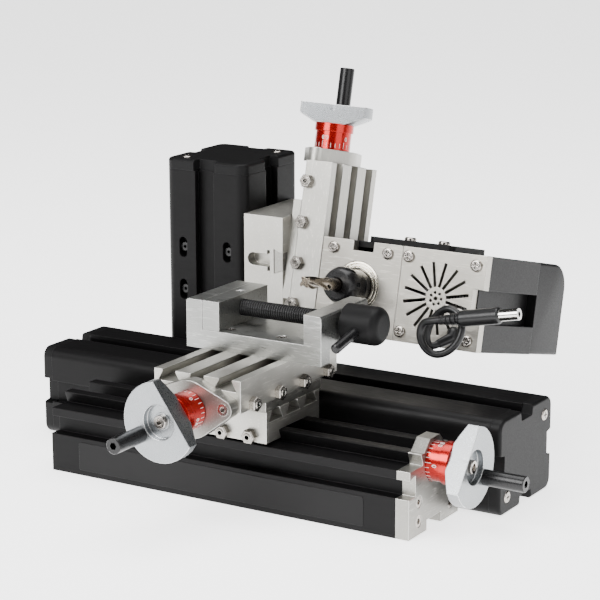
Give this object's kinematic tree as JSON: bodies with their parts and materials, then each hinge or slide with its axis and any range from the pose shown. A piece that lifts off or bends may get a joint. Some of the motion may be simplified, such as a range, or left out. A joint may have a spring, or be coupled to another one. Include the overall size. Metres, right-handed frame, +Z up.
{
  "type": "modular bench milling machine",
  "caption": "Small modular lathe and mill in horizontal milling form: black bed and column, cross slide with vise, leaning upright slide, motor head with end mill and dial handwheels",
  "frame": {"origin": "on the ground, on the joint between the slide rail and the bed, midway along the rail", "axes": "+X along the bed towards the bed handwheel, +Y away from the operator, +Z up"},
  "size_m": [0.2785, 0.2697, 0.1829],
  "materials": {
    "black_body": "satin black anodised aluminium",
    "black_cap": "satin black plastic",
    "black_key": "satin black plastic",
    "rail_aluminium": "satin extruded aluminium",
    "slide_aluminium": "satin machined aluminium",
    "vise_aluminium": "satin machined aluminium",
    "plate_aluminium": "brushed aluminium",
    "steel_screw": "nickel plated steel",
    "steel_nut": "zinc plated steel",
    "leadscrew_steel": "rolled steel thread",
    "black_screw_steel": "black oxide steel",
    "brass_nut": "turned brass",
    "red_anodised": "glossy red anodised aluminium",
    "wheel_aluminium": "turned aluminium",
    "black_grip": "black oxide steel",
    "spindle_steel": "black oxide steel",
    "bearing_steel": "ground steel",
    "cutter_steel": "ground high speed steel",
    "motor_steel": "drawn steel can",
    "lead_rubber": "soft black rubber",
    "barrel_metal": "nickel plated"
  },
  "bodies": {
    "frame": {"bed_body": "black_body", "bed_caps": "black_cap", "bed_cap_screws": "steel_screw", "slide_rail": "black_body", "rail_end_plate": "rail_aluminium", "rail_plate_screws": "steel_screw", "joining_keys": "black_key", "column_body": "black_body", "column_caps": "black_cap", "column_cap_screws": "steel_screw", "column_slot_screws": "steel_screw", "riser_block": "slide_aluminium", "riser_key": "rail_aluminium"},
    "bed_wheel": {"bed_leadscrew": "leadscrew_steel", "bed_dial": "red_anodised", "bed_handwheel": "wheel_aluminium", "bed_handle": "black_grip"},
    "saddle_unit": {"saddle": "slide_aluminium", "saddle_gib_screws": "steel_nut", "saddle_nut": "brass_nut", "cross_base": "rail_aluminium"},
    "table_unit": {"table": "slide_aluminium", "table_gib_screws": "steel_nut", "cross_end_plate": "rail_aluminium", "cross_plate_screws": "steel_screw", "vise_body": "vise_aluminium", "vise_bolts": "steel_screw"},
    "cross_wheel": {"cross_leadscrew": "leadscrew_steel", "cross_dial": "red_anodised", "cross_handwheel": "wheel_aluminium", "cross_handle": "black_grip"},
    "jaw_unit": {"vise_jaw": "vise_aluminium"},
    "vise_spindle": {"vise_screw": "black_screw_steel", "vise_knob": "black_grip", "vise_lever": "black_screw_steel"},
    "swivel_unit": {"z_base": "rail_aluminium"},
    "head_unit": {"z_carriage": "slide_aluminium", "z_gib_screws": "steel_nut", "z_end_plate": "rail_aluminium", "z_plate_screws": "steel_screw", "head_keys": "black_key", "head_housing": "black_body", "head_end_cap": "black_cap", "spindle_plate": "plate_aluminium", "vent_plate": "plate_aluminium", "head_plate_screws": "steel_screw", "head_cover": "black_cap", "motor": "motor_steel", "spindle_bearings": "bearing_steel", "cord_gland": "lead_rubber", "cord_tube": "lead_rubber", "plug_body": "lead_rubber", "plug_barrel": "barrel_metal"},
    "z_wheel": {"z_leadscrew": "leadscrew_steel", "z_dial": "red_anodised", "z_handwheel": "wheel_aluminium", "z_handle": "black_grip"},
    "cutter_unit": {"spindle": "spindle_steel", "collet_nut": "spindle_steel", "end_mill": "cutter_steel"}
  },
  "joints": [
    {"name": "saddle_slide", "type": "slide", "parent": "frame", "child": "saddle_unit", "axis": [1, 0, 0], "range_m": [-0.07, 0.06]},
    {"name": "bed_wheel_turn", "type": "hinge", "parent": "frame", "child": "bed_wheel", "pos_m": [0.1, -0.0234, 0.0306], "axis": [1, 0, 0], "range_deg": [-21700, 25300]},
    {"name": "table_slide", "type": "slide", "parent": "saddle_unit", "child": "table_unit", "axis": [0, 1, 0], "range_m": [-0.025, 0.004]},
    {"name": "cross_wheel_turn", "type": "hinge", "parent": "table_unit", "child": "cross_wheel", "pos_m": [0.0044, -0.08, 0.052], "axis": [0, 1, 0], "range_deg": [-9100, 1500]},
    {"name": "jaw_slide", "type": "slide", "parent": "table_unit", "child": "jaw_unit", "axis": [1, 0, 0], "range_m": [0, 0.017]},
    {"name": "vise_screw_turn", "type": "hinge", "parent": "jaw_unit", "child": "vise_spindle", "pos_m": [0.05, -0.0073, 0.083], "axis": [1, 0, 0], "range_deg": [-10, 4950]},
    {"name": "head_lean", "type": "hinge", "parent": "frame", "child": "swivel_unit", "pos_m": [-0.0215, 0.081, 0.09145], "axis": [-1, 0, 0], "range_deg": [-3.7, 16.3]},
    {"name": "head_slide", "type": "slide", "parent": "swivel_unit", "child": "head_unit", "axis": [0, 0.2368, 0.9715], "range_m": [-0.01, 0.02]},
    {"name": "z_wheel_turn", "type": "hinge", "parent": "head_unit", "child": "z_wheel", "pos_m": [-0.021, 0.09284, 0.14003], "axis": [0, 0.2368, 0.9715], "range_deg": [-3650, 7250]},
    {"name": "spindle_turn", "type": "hinge", "parent": "head_unit", "child": "cutter_unit", "pos_m": [0.0152, 0.07768, 0.07785], "axis": [0, -0.9715, 0.2368], "continuous": true}
  ],
  "couplings": [
    {"joint": "bed_wheel_turn", "follows": "saddle_slide", "rad_per_m": -6283.2},
    {"joint": "cross_wheel_turn", "follows": "table_slide", "rad_per_m": 6283.2},
    {"joint": "vise_screw_turn", "follows": "jaw_slide", "rad_per_m": 5026.5},
    {"joint": "z_wheel_turn", "follows": "head_slide", "rad_per_m": 6283.2}
  ]
}
